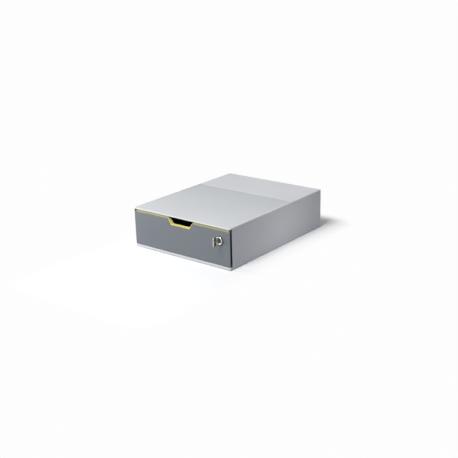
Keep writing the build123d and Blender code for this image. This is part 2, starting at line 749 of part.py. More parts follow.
with BuildPart() as plug_wafers:
    for wafer_depth in wafer_depths:
        with BuildSketch(facing_front(wafer_depth)):
            with Locations((lock_right, lock_height)):
                Rectangle(*wafer_size)
                Rectangle(*wafer_window, mode=Mode.SUBTRACT)
        extrude(amount=-wafer_thickness)
plug_wafers.part.label = "plug_wafers"
export_step(plug_wafers.part, "parts/plug_wafers.step")

with BuildPart() as lock_cam:
    # points left while the drawer is free; a quarter turn stands it up behind the keeper
    with BuildSketch(facing_front(cam_start)) as cam_outline:
        with Locations((lock_right, lock_height)):
            Circle(cam_width / 2)
        with BuildLine():
            root_x = lock_right
            tip_x = lock_right - cam_reach
            Polyline(
                (root_x, lock_height + cam_width / 2),
                (tip_x, lock_height + cam_tip_width / 2),
                (tip_x, lock_height - cam_tip_width / 2),
                (root_x, lock_height - cam_width / 2),
                close=True,
            )
        make_face()
        fillet(cam_outline.vertices().group_by(Axis.X)[0], radius=cam_tip_width / 4)
        with Locations((lock_right, lock_height)):
            hole_side = plug_square + 2 * cam_square_fit
            Rectangle(hole_side, hole_side, mode=Mode.SUBTRACT)
    extrude(amount=-cam_thickness)
lock_cam.part.label = "lock_cam"
export_step(lock_cam.part, "parts/lock_cam.step")

with BuildPart() as cam_washer:
    depth_cylinder(lock_right, lock_height, cam_washer_radius, cam_end,
                   cam_end + cam_washer_thickness)
    depth_cylinder(lock_right, lock_height, cam_screw_size[0] + screw_fit, cam_end,
                   cam_end + cam_washer_thickness, mode=Mode.SUBTRACT)
cam_washer.part.label = "cam_washer"
export_step(cam_washer.part, "parts/cam_washer.step")

with BuildPart() as cam_screw:
    cam_screw_y = behind(cam_end + cam_washer_thickness)
    with Locations(pointing(lock_right, cam_screw_y, lock_height, (0, -1, 0))):
        add(pan_screw(cam_screw_size, cam_screw_length))
cam_screw.part.label = "cam_screw"
export_step(cam_screw.part, "parts/cam_screw.step")

with BuildPart() as key:
    # blade with its shoulder at the lock's face and a pointed tip
    key_side = lock_right - key_thickness / 2
    blade_top = lock_height + blade_height / 2
    blade_bottom = lock_height - blade_height / 2
    tip = 0.3 * blade_height
    with BuildSketch(facing_side(key_side)):
        with BuildLine():
            Polyline(
                (behind(shoulder), blade_bottom),
                (behind(blade_end - tip), blade_bottom),
                (behind(blade_end), lock_height - tip / 2),
                (behind(blade_end), lock_height + tip / 2),
                (behind(blade_end - tip), blade_top),
                (behind(shoulder), blade_top),
                close=True,
            )
        make_face()
    extrude(amount=key_thickness)
    # neck and bow
    bow_middle = (behind(bow_length / 2 - key_reach), lock_height + bow_rise)
    with BuildSketch(facing_side(key_side)):
        with Locations(bow_middle):
            RectangleRounded(bow_length, bow_height, bow_corner)
        neck_start = bow_length / 2 - key_reach
        with Locations((behind((neck_start + shoulder) / 2), lock_height)):
            Rectangle(shoulder - neck_start, neck_height)
    extrude(amount=key_thickness)
    # two pockets on each face leave a rim and a bar across the bow
    for face_x, direction in ((key_side, 1), (key_side + key_thickness, -1)):
        with BuildSketch(facing_side(face_x)) as pockets:
            with Locations(bow_middle):
                RectangleRounded(bow_length - 2 * bow_rim, bow_height - 2 * bow_rim,
                                 bow_corner - bow_rim)
                Rectangle(bow_length, bow_bar, mode=Mode.SUBTRACT)
        extrude(amount=direction * bow_pocket, mode=Mode.SUBTRACT)
        # groove along the blade
        with BuildSketch(facing_side(face_x)):
            with Locations((behind((shoulder + blade_end) / 2), lock_height)):
                Rectangle(blade_end - shoulder, key_groove[1])
        extrude(amount=direction * key_groove[0], mode=Mode.SUBTRACT)
    # cuts that lift the wafers, one under each and one over it
    for wafer_depth, low_cut, high_cut in zip(wafer_depths, key_cuts, reversed(key_cuts)):
        cut_start = wafer_depth + (wafer_thickness - key_cut_width) / 2
        for z in ((blade_bottom - overrun, blade_bottom + low_cut),
                  (blade_top - high_cut, blade_top + overrun)):
            block((key_side - overrun, key_side + key_thickness + overrun),
                  (behind(cut_start), behind(cut_start + key_cut_width)), z, mode=Mode.SUBTRACT)
key.part.label = "key"
export_step(key.part, "parts/key.step")


# ---------------------------------------------------------------------------
# Screws, one node for each kind
# ---------------------------------------------------------------------------
with BuildPart() as base_screws:
    with Locations(base_screw_places):
        add(flat_screw(small_screw, base_screw_length))
base_screws.part.label = "base_screws"
export_step(base_screws.part, "parts/base_screws.step")

with BuildPart() as back_screws:
    with Locations(back_screw_places):
        add(pan_screw(small_screw, back_screw_length))
back_screws.part.label = "back_screws"
export_step(back_screws.part, "parts/back_screws.step")

with BuildPart() as runner_screws:
    for side in (-1, 1):
        with Locations(runner_screw_places(side)):
            add(flat_screw(short_screw, runner_screw_length))
runner_screws.part.label = "runner_screws"
export_step(runner_screws.part, "parts/runner_screws.step")

with BuildPart() as keeper_screws:
    with Locations(keeper_screw_places):
        add(pan_screw(short_screw, keeper_screw_length))
keeper_screws.part.label = "keeper_screws"
export_step(keeper_screws.part, "parts/keeper_screws.step")

with BuildPart() as front_screws:
    with Locations([pointing(x, behind(tray_front_end), z, (0, -1, 0))
                    for x, z in front_screw_points]):
        add(pan_screw(small_screw, front_screw_length))
front_screws.part.label = "front_screws"
export_step(front_screws.part, "parts/front_screws.step")
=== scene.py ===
import json
from math import cos, pi, radians, sin

import bmesh
import bpy
from mathutils import Matrix, Vector

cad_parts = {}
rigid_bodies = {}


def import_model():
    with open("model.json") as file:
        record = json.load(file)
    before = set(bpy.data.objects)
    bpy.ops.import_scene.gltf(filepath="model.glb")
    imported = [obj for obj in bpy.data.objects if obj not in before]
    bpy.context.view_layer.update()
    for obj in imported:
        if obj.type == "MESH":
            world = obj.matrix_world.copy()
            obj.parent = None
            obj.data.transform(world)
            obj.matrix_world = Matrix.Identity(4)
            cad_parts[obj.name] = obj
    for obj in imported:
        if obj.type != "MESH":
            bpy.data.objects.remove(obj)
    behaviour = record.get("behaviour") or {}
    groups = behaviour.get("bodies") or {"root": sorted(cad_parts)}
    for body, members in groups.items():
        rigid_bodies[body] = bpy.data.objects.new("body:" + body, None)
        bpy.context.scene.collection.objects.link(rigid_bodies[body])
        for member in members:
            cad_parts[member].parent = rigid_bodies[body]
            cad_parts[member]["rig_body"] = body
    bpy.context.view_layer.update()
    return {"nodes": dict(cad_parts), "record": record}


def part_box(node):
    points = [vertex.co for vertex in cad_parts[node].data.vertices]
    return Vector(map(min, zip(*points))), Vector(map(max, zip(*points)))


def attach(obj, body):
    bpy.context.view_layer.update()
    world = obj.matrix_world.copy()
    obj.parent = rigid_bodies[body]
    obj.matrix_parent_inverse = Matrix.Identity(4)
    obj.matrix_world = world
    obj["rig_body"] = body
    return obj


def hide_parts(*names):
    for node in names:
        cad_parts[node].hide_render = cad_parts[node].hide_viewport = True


# A lockable one-drawer desktop file box. Metres, +Z up, the drawer front faces -Y.

MM = 0.001
IMAGE_SIZE = 458                        # pixels, both ways
SENSOR = 36.0                           # mm
WELD = 1e-7                             # points nearer than this are one
CREASE = 32                             # degrees from which an edge stays sharp
LOCK_STEPS = 72                         # sides of what is turned
FOOT_STEPS = 48
SCREW_STEPS = 32

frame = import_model()
nodes = frame["nodes"]
slots = {part["node"]: part["material_slot"] for part in frame["record"]["subparts"]}

# Places taken from the frame
cover_low, cover_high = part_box("housing_cover")
FRONT = cover_low.y                     # front plane of the housing
TOP = cover_high.z
SIDE = cover_high.x                     # right side of the housing
DEPTH = cover_high.y - cover_low.y
lock_low, lock_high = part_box("lock_body")
LOCK_X = (lock_low.x + lock_high.x) / 2
LOCK_Z = (lock_low.z + lock_high.z) / 2
LOCK_FACE = lock_low.y

# Sunk field of the housing's top, and the shade painted across it
FIELD_START = 3.0 * MM                  # behind the front plane
FIELD_END = 238.0 * MM
FIELD_RIM = 4.0 * MM                    # border beside it
FIELD_DROP = 0.8 * MM
FIELD_SOFT = 0.2 * MM                   # soft edge of its painted shade
FIELD_LEAST = 0.3                       # share of the painted shade at its front

# Other places where shade is painted into a finish
WALL_SET_BACK = 8.0 * MM                # side walls' front edges behind the front plane
WALL_DROP = 3.6 * MM                    # their painted shade ends this far below the top
BAND_DROP = 10.0 * MM                   # painted shade on the trim's band ends this far below the top

# Floor, room and lamps
FLOOR_HALF = 14.0                       # half its width
FLOOR_WHITE = 0.985
FLOOR_SHADED = 0.93                     # part of the white that shadows darken, beside the box
FLOOR_AHEAD = 0.27                      # this much further in front, for the open drawer
FLOOR_BEHIND = 0.034                    # this much further behind, for the key light's shadow
FLOOR_FAR = 0.072                       # it fades to nothing over this width
FLOOR_BOUNCE = (0.39, 0.40, 0.43)       # floor's colour as the box is lit by it
ROOM = (0.265, 0.27, 0.285)
WHITE = (1.0, 1.0, 1.0)
LAMP_AIM = 0.05                         # height that the lamps are aimed at
SIDE_AIM = 0.035                        # place along Y that the right side's lamp is aimed at

# What all screws have in common
THREAD_ROOT = 0.78                      # radius of the thread's root, in shank radii
POINT_LENGTH = 0.6                      # from the last turn to the end, in shank radii
POINT_TIP = 0.4                         # radius of the point's end, in shank radii
HEAD_EDGE = 0.12                        # mm
HEAD_ROUNDING = 0.55                    # of a pan head's height
PAN_CROSS, FLAT_CROSS = 0.5, 0.7        # depth of the cross, of the head's height
CROSS_ARM = 0.7                         # width of its arms, mm
CROSS_REACH = 0.6                       # of the head's radius
CROSS_TAPER = 0.55                      # of its width, left at the bottom


# ---------------------------------------------------------------------------
# Camera
# ---------------------------------------------------------------------------
def place_camera():
    """Looks at the box from its front right, a little above the desk."""
    azimuth, elevation, roll = radians(38.75), radians(18.87), radians(-1.52)
    distance, focal_px = 1.962, 828.0
    target_right, target_up = -0.0031, -0.0279
    middle = Vector((0.0, FRONT + DEPTH / 2, TOP / 2))
    back = Vector((sin(azimuth) * cos(elevation), -cos(azimuth) * cos(elevation), sin(elevation)))
    right = (-back).cross(Vector((0, 0, 1))).normalized()
    up = right.cross(-back)
    target = middle + target_right * right + target_up * up
    turned_right = cos(roll) * right + sin(roll) * up
    turned_up = -sin(roll) * right + cos(roll) * up
    data = bpy.data.cameras.new("camera")
    data.sensor_width = SENSOR
    data.lens = focal_px / IMAGE_SIZE * SENSOR
    data.clip_start, data.clip_end = 0.05, 60.0
    camera = bpy.data.objects.new("camera", data)
    bpy.context.scene.collection.objects.link(camera)
    axes = Matrix((turned_right, turned_up, back)).transposed()
    camera.matrix_world = Matrix.Translation(target + back * distance) @ axes.to_4x4()
    bpy.context.scene.camera = camera


# ---------------------------------------------------------------------------
# Mesh helpers
# ---------------------------------------------------------------------------
def add_piece(mesh, name, node):
    """Closes a mesh and puts it in the place of a CAD node, on its body and in its finish."""
    bmesh.ops.remove_doubles(mesh, verts=mesh.verts, dist=WELD)
    bmesh.ops.recalc_face_normals(mesh, faces=mesh.faces)
    for face in mesh.faces:
        face.smooth = True
    for edge in mesh.edges:
        edge.smooth = edge.is_manifold and edge.calc_face_angle() < radians(CREASE)
    data = bpy.data.meshes.new(name)
    mesh.to_mesh(data)
    mesh.free()
    data.materials.append(finishes[slots[node]])
    piece = bpy.data.objects.new(name, data)
    bpy.context.scene.collection.objects.link(piece)
    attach(piece, nodes[node]["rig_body"])
    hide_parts(node)


def join(parts):
    """One mesh of several, which are used up."""
    joined = bmesh.new()
    for part in parts:
        data = bpy.data.meshes.new("part")
        part.to_mesh(data)
        part.free()
        joined.from_mesh(data)
        bpy.data.meshes.remove(data)
    return joined


def pointing(place, direction):
    """Matrix that puts a shape made along +Z at a place, turned to a direction."""
    turn = Vector(direction).to_track_quat("Z", "Y").to_matrix().to_4x4()
    return Matrix.Translation(place) @ turn


def arc(centre, radius, start, end, steps):
    """Points round a centre, between two angles in degrees."""
    angles = [radians(start + (end - start) * i / steps) for i in range(steps + 1)]
    return [(centre[0] + radius * cos(a), centre[1] + radius * sin(a)) for a in angles]


def thread(root, crest, pitch, start, end):
    """Outline of a thread between two heights."""
    turns = round((end - start) / pitch)
    step = (end - start) / turns
    points = []
    for turn in range(turns):
        points += [(root, start + turn * step), (crest, start + (turn + 0.5) * step)]
    return points + [(root, end)]


def turned(mesh, outline, steps):
    """Spins an outline of (radius, height) points in millimetres about Z."""
    points = [mesh.verts.new((radius * MM, 0, height * MM)) for radius, height in outline]
    lines = [mesh.edges.new(pair) for pair in zip(points, points[1:])]
    bmesh.ops.spin(mesh, geom=points + lines, axis=(0, 0, 1), cent=(0, 0, 0), angle=2 * pi,
                   steps=steps, use_merge=True)
    bmesh.ops.remove_doubles(mesh, verts=mesh.verts, dist=WELD)


def thicken(mesh, face, thickness):
    """Makes a plate of a lone face in a YZ plane, towards +X, in millimetres."""
    grown = bmesh.ops.extrude_face_region(mesh, geom=[face], use_keep_orig=True)["geom"]
    points = [item for item in grown if isinstance(item, bmesh.types.BMVert)]
    bmesh.ops.translate(mesh, verts=points, vec=(thickness * MM, 0, 0))
    bmesh.ops.recalc_face_normals(mesh, faces=mesh.faces)


def rounded_plate(centre, size, radius, thickness):
    """New plate with rounded corners, in the middle of X, in millimetres."""
    corners = [(-1, -1), (1, -1), (1, 1), (-1, 1)]
    mesh = bmesh.new()
    points = [mesh.verts.new((-thickness / 2 * MM, (centre[0] + y * size[0] / 2) * MM,
                              (centre[1] + z * size[1] / 2) * MM)) for y, z in corners]
    mesh.faces.new(points)
    bmesh.ops.bevel(mesh, geom=points, offset=radius * MM, affect="VERTICES", segments=10,
                    profile=0.5, material=-1)
    thicken(mesh, mesh.faces[:][-1], thickness)
    return mesh


def broad(faces):
    """Those of the faces that look left or right."""
    return [face for face in faces if abs(face.normal.x) > 0.99]


def faces_at(mesh, height):
    """Faces that lie flat at a height, in millimetres."""
    return [face for face in mesh.faces
            if all(abs(vert.co.z - height * MM) < WELD * 10 for vert in face.verts)]


def cut_lines(mesh, faces, normal, places):
    """Cuts the faces along planes at the given places, in millimetres, and returns the new faces."""
    for place in places:
        around = set(faces)
        for face in faces:
            around.update(face.edges)
            around.update(face.verts)
        cut = bmesh.ops.bisect_plane(mesh, geom=list(around), plane_no=normal, dist=WELD,
                                     plane_co=Vector(normal) * place * MM)
        faces = [item for item in cut["geom"] if isinstance(item, bmesh.types.BMFace)]
    return faces


def sink_cross(mesh, height, reach, depth):
    """Cross recess in the flat head face at a height, tapered as its driver is."""
    places = (-reach, -CROSS_ARM / 2, CROSS_ARM / 2, reach)
    faces = cut_lines(mesh, faces_at(mesh, height), (1, 0, 0), places)
    faces = cut_lines(mesh, faces, (0, 1, 0), places)
    inside = []
    for face in faces:
        middle = face.calc_center_median() / MM
        near, far = sorted((abs(middle.x), abs(middle.y)))
        if near < CROSS_ARM / 2 and far < reach:
            inside.append(face)
    sunk = bmesh.ops.extrude_face_region(mesh, geom=inside)["geom"]
    points = [item for item in sunk if isinstance(item, bmesh.types.BMVert)]
    bmesh.ops.translate(mesh, verts=points, vec=(0, 0, depth * MM))
    bmesh.ops.scale(mesh, verts=points, vec=(CROSS_TAPER, CROSS_TAPER, 1))


def solids(node):
    """Lowest and highest corner of each separate solid of a CAD node."""
    mesh = bmesh.new()
    mesh.from_mesh(nodes[node].data)
    bmesh.ops.remove_doubles(mesh, verts=mesh.verts, dist=WELD * 10)
    seen, found = set(), []
    for first in mesh.verts:
        if first in seen:
            continue
        solid, waiting = {first}, [first]
        while waiting:
            for edge in waiting.pop().link_edges:
                for vert in edge.verts:
                    if vert not in solid:
                        solid.add(vert)
                        waiting.append(vert)
        seen |= solid
        corners = [[choose(vert.co[i] for vert in solid) for i in range(3)] for choose in (min, max)]
        found.append((Vector(corners[0]), Vector(corners[1])))
    mesh.free()
    return found


# ---------------------------------------------------------------------------
# Node helpers
# ---------------------------------------------------------------------------
def new_material(name):
    """An empty node material, with its Principled shader and Object coordinates."""
    material = bpy.data.materials.new(name)
    material.use_nodes = True
    tree = material.node_tree
    shader = next(node for node in tree.nodes if node.type == "BSDF_PRINCIPLED")
    place = tree.nodes.new("ShaderNodeTexCoord").outputs["Object"]
    return material, tree, shader, place


def opened(material):
    """Node tree of a finish, its shader, and the X, Y and Z of a point on the object."""
    tree = material.node_tree
    shader = next(node for node in tree.nodes if node.type == "BSDF_PRINCIPLED")
    place = next(node for node in tree.nodes if node.type == "TEX_COORD").outputs["Object"]
    split = tree.nodes.new("ShaderNodeSeparateXYZ")
    tree.links.new(place, split.inputs["Vector"])
    return tree, shader, split.outputs["X"], split.outputs["Y"], split.outputs["Z"]


def noise(tree, place, per_metre, detail=3.0, roughness=0.55, stretch=None):
    """Noise at so many lumps a metre, stretched where a finish runs one way."""
    if stretch:
        mapping = tree.nodes.new("ShaderNodeMapping")
        mapping.inputs["Scale"].default_value = stretch
        tree.links.new(place, mapping.inputs["Vector"])
        place = mapping.outputs["Vector"]
    node = tree.nodes.new("ShaderNodeTexNoise")
    node.inputs["Scale"].default_value = per_metre
    node.inputs["Detail"].default_value = detail
    node.inputs["Roughness"].default_value = roughness
    tree.links.new(place, node.inputs["Vector"])
    return node.outputs["Fac"]


def spread(tree, value, low, high, bottom=0.3, top=0.7):
    """A value from bottom to top, as noise mostly is from 0.3 to 0.7, brought to low to high."""
    node = tree.nodes.new("ShaderNodeMapRange")
    node.inputs["From Min"].default_value = bottom
    node.inputs["From Max"].default_value = top
    node.inputs["To Min"].default_value = low
    node.inputs["To Max"].default_value = high
    tree.links.new(value, node.inputs["Value"])
    return node.outputs["Result"]


def times(tree, first, second):
    """Product of two values."""
    node = tree.nodes.new("ShaderNodeMath")
    node.operation = "MULTIPLY"
    tree.links.new(first, node.inputs[0])
    tree.links.new(second, node.inputs[1])
    return node.outputs["Value"]


def within(tree, value, low, high, soft=0.0):
    """1 where a value lies between two limits, with soft ends."""
    bottom = spread(tree, value, 0.0, 1.0, low - soft, low + soft + WELD)
    top = spread(tree, value, 1.0, 0.0, high - soft - WELD, high + soft)
    return times(tree, bottom, top)


def two_tones(tree, factor, first, second):
    """Colour between two tones."""
    node = tree.nodes.new("ShaderNodeMix")
    node.data_type = "RGBA"
    node.inputs["A"].default_value = (*first, 1)
    node.inputs["B"].default_value = (*second, 1)
    tree.links.new(factor, node.inputs["Factor"])
    return node.outputs["Result"]


def darken(tree, shader, mask, colour):
    """Draws the base colour towards another one where the mask says."""
    before = shader.inputs["Base Color"].links[0].from_socket
    node = tree.nodes.new("ShaderNodeMix")
    node.data_type = "RGBA"
    node.inputs["B"].default_value = (*colour, 1)
    tree.links.new(mask, node.inputs["Factor"])
    tree.links.new(before, node.inputs["A"])
    tree.links.new(node.outputs["Result"], shader.inputs["Base Color"])


def relief(tree, shader, height, depth, strength):
    """Bump of the given depth in metres."""
    node = tree.nodes.new("ShaderNodeBump")
    node.inputs["Distance"].default_value = depth
    node.inputs["Strength"].default_value = strength
    tree.links.new(height, node.inputs["Height"])
    tree.links.new(node.outputs["Normal"], shader.inputs["Normal"])


def srgb(red, green, blue):
    """Linear colour of an 8-bit one."""
    return tuple(
        c / 255 / 12.92 if c < 10.31 else ((c / 255 + 0.055) / 1.055) ** 2.4
        for c in (red, green, blue)
    )


def shade(colour, factor):
    """A colour made lighter or darker."""
    return tuple(min(1.0, c * factor) for c in colour)


# ---------------------------------------------------------------------------
# Finishes
# ---------------------------------------------------------------------------
def moulded(name, colour, grain, gloss=(0.48, 0.58)):
    """Injection-moulded plastic: spark-eroded grain, slow tone and sheen changes from the flow."""
    tone, grain_depth = 0.03, 0.03 * MM
    material, tree, shader, place = new_material(name)
    flow = spread(tree, noise(tree, place, per_metre=9.0, detail=2.0), 0.0, 1.0)
    paint = two_tones(tree, flow, shade(colour, 1 - tone), shade(colour, 1 + tone))
    tree.links.new(paint, shader.inputs["Base Color"])
    grains = noise(tree, place, per_metre=1 / (grain * MM), detail=2.5, roughness=0.6)
    tree.links.new(spread(tree, grains, *gloss), shader.inputs["Roughness"])
    relief(tree, shader, grains, grain_depth, strength=0.6)
    shader.inputs["IOR"].default_value = 1.49
    return material


def metal(name, colour, gloss, grain=0.3, depth=0.002, stretch=None):
    """Plated or bare metal: faint polishing marks and patches of haze."""
    tone = 0.06
    material, tree, shader, place = new_material(name)
    haze = spread(tree, noise(tree, place, per_metre=160.0, detail=4.0, roughness=0.6), 0.0, 1.0)
    paint = two_tones(tree, haze, shade(colour, 1 - tone), shade(colour, 1 + tone / 2))
    tree.links.new(paint, shader.inputs["Base Color"])
    marks = noise(tree, place, per_metre=1 / (grain * MM), roughness=0.6, stretch=stretch)
    tree.links.new(spread(tree, marks, *gloss), shader.inputs["Roughness"])
    relief(tree, shader, marks, depth * MM, strength=0.25)
    shader.inputs["Metallic"].default_value = 1.0
    return material


def rubber(name, colour):
    """Matt rubber with a dusty bloom."""
    dusty, skin_depth = shade(colour, 1.9), 0.03 * MM
    material, tree, shader, place = new_material(name)
    bloom = noise(tree, place, per_metre=220.0, detail=4.0, roughness=0.65)
    paint = two_tones(tree, spread(tree, bloom, 0.0, 1.0), colour, dusty)
    tree.links.new(paint, shader.inputs["Base Color"])
    tree.links.new(spread(tree, bloom, 0.7, 0.9), shader.inputs["Roughness"])
    relief(tree, shader, noise(tree, place, per_metre=2600.0), skin_depth, strength=0.5)
    return material


def sunk_field_painted_shade(material, colour):
    """Painted shade over the sunk field across the top, growing darker towards the step."""
    half_width, short_of_step = SIDE - FIELD_RIM, 0.1 * MM
    tree, shader, x, y, z = opened(material)
    across = within(tree, x, -half_width, half_width, FIELD_SOFT)
    high = within(tree, z, TOP - FIELD_DROP - FIELD_SOFT, TOP + MM)
    back = spread(tree, y, FIELD_LEAST, 1.0, FRONT + FIELD_START, FRONT + FIELD_END)
    ahead = within(tree, y, FRONT, FRONT + FIELD_END - short_of_step)
    mask = times(tree, times(tree, across, high), times(tree, back, ahead))
    darken(tree, shader, mask, colour)


def gap_shade_painted_on_ends(material, node, colour):
    """End faces of a node, painted near-black as the shade in the gap beside them."""
    end, skin = 0.5 * MM, 0.15 * MM
    low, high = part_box(node)
    tree, shader, x, y, _ = opened(material)
    middle = within(tree, x, low.x + end, high.x - end)
    behind = spread(tree, y, 0.0, 1.0, low.y + skin, low.y + 2 * skin)
    ends = spread(tree, middle, 1.0, 0.0, 0.0, 1.0)
    darken(tree, shader, times(tree, ends, behind), colour)


def hem_shade_painted_on_band(material, colour):
    """Band of the trim above the drawer front, painted darker than the notch liner below it as the
    hem's shade.
    """
    tree, shader, _, _, z = opened(material)
    band = spread(tree, z, 0.0, 1.0, TOP - BAND_DROP - MM, TOP - BAND_DROP + MM)
    darken(tree, shader, band, colour)


def gap_shade_painted_on_walls(material, colour):
    """Front edges of the side walls, in the gap beside the drawer front, painted near-black as the
    shade there.
    """
    edge, ahead, skin, inside = FRONT + WALL_SET_BACK, 0.1 * MM, 0.15 * MM, 0.3 * MM
    tree, shader, x, y, z = opened(material)
    across = within(tree, x, -SIDE + inside, SIDE - inside)
    front = within(tree, y, edge - ahead, edge + skin)
    low = within(tree, z, 0, TOP - WALL_DROP)
    darken(tree, shader, times(tree, times(tree, across, front), low), colour)


def skirt_shade_painted(material, colour):
    """Flank of the lock's head, painted dark as shade and a dark reflection."""
    start, end, soft = LOCK_FACE + 2.3 * MM, LOCK_FACE + 5.1 * MM, 0.4 * MM
    tree, shader, _, y, _ = opened(material)
    darken(tree, shader, within(tree, y, start, end, soft), colour)


def recess_shade_painted(material, node, colour):
    """Pockets and grooves of a flat piece, painted darker than the polished rest as the shade in them.
    """
    sink, front_rim = 0.35 * MM, 0.8 * MM
    low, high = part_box(node)
    tree, shader, x, y, _ = opened(material)
    inside = within(tree, x, low.x + sink, high.x - sink, soft=0.05 * MM)
    edge = within(tree, y, low.y + front_rim, high.y, soft=0.1 * MM)
    darken(tree, shader, times(tree, inside, edge), colour)


# ---------------------------------------------------------------------------
# Floor and light
# ---------------------------------------------------------------------------
def seen_directly(tree):
    """1 for what the camera sees, straight or in metal or glass."""
    path = tree.nodes.new("ShaderNodeLightPath")
    total = path.outputs["Is Camera Ray"]
    for name in ("Is Glossy Ray", "Is Transmission Ray"):
        add = tree.nodes.new("ShaderNodeMath")
        add.operation = "MAXIMUM"
        tree.links.new(total, add.inputs[0])
        tree.links.new(path.outputs[name], add.inputs[1])
        total = add.outputs["Value"]
    return total


def shadow_share(tree, place):
    """Part of the floor's white that shadows darken: most beside the box, and none far from it."""
    start, end = FRONT - FLOOR_AHEAD, FRONT + DEPTH + FLOOR_BEHIND
    outside = place
    for operation, value in (("SUBTRACT", (0, (start + end) / 2, 0)), ("ABSOLUTE", None),
                             ("SUBTRACT", (SIDE, (end - start) / 2, 0)),
                             ("MAXIMUM", (0, 0, 0)), ("LENGTH", None)):
        step = tree.nodes.new("ShaderNodeVectorMath")
        step.operation = operation
        tree.links.new(outside, step.inputs[0])
        if value:
            step.inputs[1].default_value = value
        outside = step.outputs["Value" if operation == "LENGTH" else "Vector"]
    share = spread(tree, outside, FLOOR_SHADED, 0.0, 0.0, FLOOR_FAR)
    share.node.interpolation_type = "SMOOTHERSTEP"
    return share


def lay_floor():
    """Plain pale floor that runs out of sight."""
    mesh = bmesh.new()
    bmesh.ops.create_grid(mesh, x_segments=1, y_segments=1, size=FLOOR_HALF)
    data = bpy.data.meshes.new("floor")
    mesh.to_mesh(data)
    mesh.free()
    floor = bpy.data.objects.new("floor", data)
    bpy.context.scene.collection.objects.link(floor)
    material, tree, shader, place = new_material("floor_paint")
    shaded = shadow_share(tree, place)
    seen = seen_directly(tree)
    paint = two_tones(tree, seen, FLOOR_BOUNCE, (0, 0, 0))
    tree.links.new(shaded, paint.node.inputs["B"])
    tree.links.new(paint, shader.inputs["Base Color"])
    shader.inputs["Emission Color"].default_value = (*WHITE, 1)
    glow = spread(tree, shaded, FLOOR_WHITE, FLOOR_WHITE - FLOOR_SHADED, 0.0, FLOOR_SHADED)
    tree.links.new(times(tree, seen, glow), shader.inputs["Emission Strength"])
    shader.inputs["Roughness"].default_value = 0.9
    shader.inputs["Specular IOR Level"].default_value = 0.0
    data.materials.append(material)


def soft_box(name, turn, height, distance, aim, size, watts, beam=180):
    """Square soft light, turned from the front and raised by so many degrees, aimed at a point."""
    turn, height = radians(turn), radians(height)
    back = Vector((sin(turn) * cos(height), -cos(turn) * cos(height), sin(height)))
    light = bpy.data.lights.new(name, "AREA")
    light.shape = "SQUARE"
    light.size = size
    light.energy = watts
    light.spread = radians(beam)
    lamp = bpy.data.objects.new(name, light)
    lamp.visible_camera = False
    bpy.context.scene.collection.objects.link(lamp)
    lamp.matrix_world = pointing(Vector(aim) + distance * back, back)


def light_scene():
    """A soft key from the front, weak fills at both sides, and an even room."""
    world = bpy.data.worlds.new("room")
    bpy.context.scene.world = world
    world.use_nodes = True
    tree = world.node_tree
    background = next(node for node in tree.nodes if node.type == "BACKGROUND")
    tree.links.new(two_tones(tree, seen_directly(tree), ROOM, WHITE), background.inputs["Color"])
    soft_box("key_light", turn=4, height=50, distance=2.2, aim=(0, 0, LAMP_AIM), size=0.8,
             watts=36.6)
    soft_box("front_fill", turn=-66, height=14, distance=0.5, aim=(-SIDE, FRONT, LAMP_AIM),
             size=0.3, watts=1.7)
    soft_box("side_fill", turn=90, height=12, distance=0.34, aim=(SIDE, SIDE_AIM, LAMP_AIM),
             size=0.06, watts=0.021, beam=60)


# ---------------------------------------------------------------------------
# Cam lock and key
# ---------------------------------------------------------------------------
def make_lock_body():
    """Turned head with a rounded rim dished round the plug, and the threaded barrel with two flats."""
    head, barrel, bore, half_flats = 9.25, 8.0, 6.05, 6.75
    rim, inner_rim, dish = 1.75, 0.3, 1.0
    undercut, thread_depth, pitch, chamfer = 0.3, 0.3, 1.0, 0.7
    seat, end = 1.5, 22.0               # head's back and barrel's end, behind the front plane
    face = (LOCK_FACE - FRONT) / MM
    outline = [(bore, face + dish), (bore + 0.15, face + dish - 0.05), (bore + 1.2, face + 0.2)]
    outline += arc((bore + 1.42, face + inner_rim), inner_rim, -130, -90, steps=3)
    outline += arc((head - rim, face + rim), rim, -88, 0, steps=10)
    outline += [(head, seat - 2 * undercut), (head - undercut, seat - undercut)]
    outline += [(head - undercut, seat), (barrel, seat), (barrel, seat + 1.2)]
    outline += thread(barrel - thread_depth, barrel, pitch, seat + 1.6, end - 0.9)
    outline += [(barrel - chamfer, end), (bore, end), outline[0]]
    mesh = bmesh.new()
    turned(mesh, outline, LOCK_STEPS)
    for vert in mesh.verts:
        if vert.co.z > (seat - 0.01) * MM and Vector(vert.co.xy).length > (bore + 0.1) * MM:
            vert.co.y = max(-half_flats * MM, min(half_flats * MM, vert.co.y))
    place = pointing((LOCK_X, FRONT, LOCK_Z), (0, 1, 0))
    bmesh.ops.transform(mesh, verts=mesh.verts, matrix=place)
    add_piece(mesh, "lock_head_and_barrel", "lock_body")


def make_lock_nut():
    """Hexagon nut with chamfered corners and a threaded bore."""
    bore, countersink, thread_depth, pitch = 8.06, 0.4, 0.25, 1.0
    chamfer, face_rim = 0.9, 0.2
    low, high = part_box("lock_nut")
    thick = (high.y - low.y) / MM
    half_flats = (high.z - low.z) / 2 / MM
    corner = half_flats / cos(pi / 6)
    outline = [(bore + countersink, 0), (half_flats - face_rim, 0), (corner, chamfer)]
    outline += [(corner, thick - chamfer), (half_flats - face_rim, thick)]
    outline += [(bore + countersink, thick)]
    outline += reversed(thread(bore + thread_depth, bore, pitch, countersink, thick - countersink))
    outline += [outline[0]]
    mesh = bmesh.new()
    turned(mesh, outline, LOCK_STEPS)
    for side in range(6):
        angle = pi / 6 + side * pi / 3
        across = Vector((cos(angle), sin(angle), 0))
        for vert in mesh.verts:
            past = vert.co.dot(across) - half_flats * MM
            if past > 0:
                vert.co -= past * across
    place = pointing((LOCK_X, low.y, LOCK_Z), (0, 1, 0))
    bmesh.ops.transform(mesh, verts=mesh.verts, matrix=place)
    add_piece(mesh, "barrel_nut", "lock_nut")


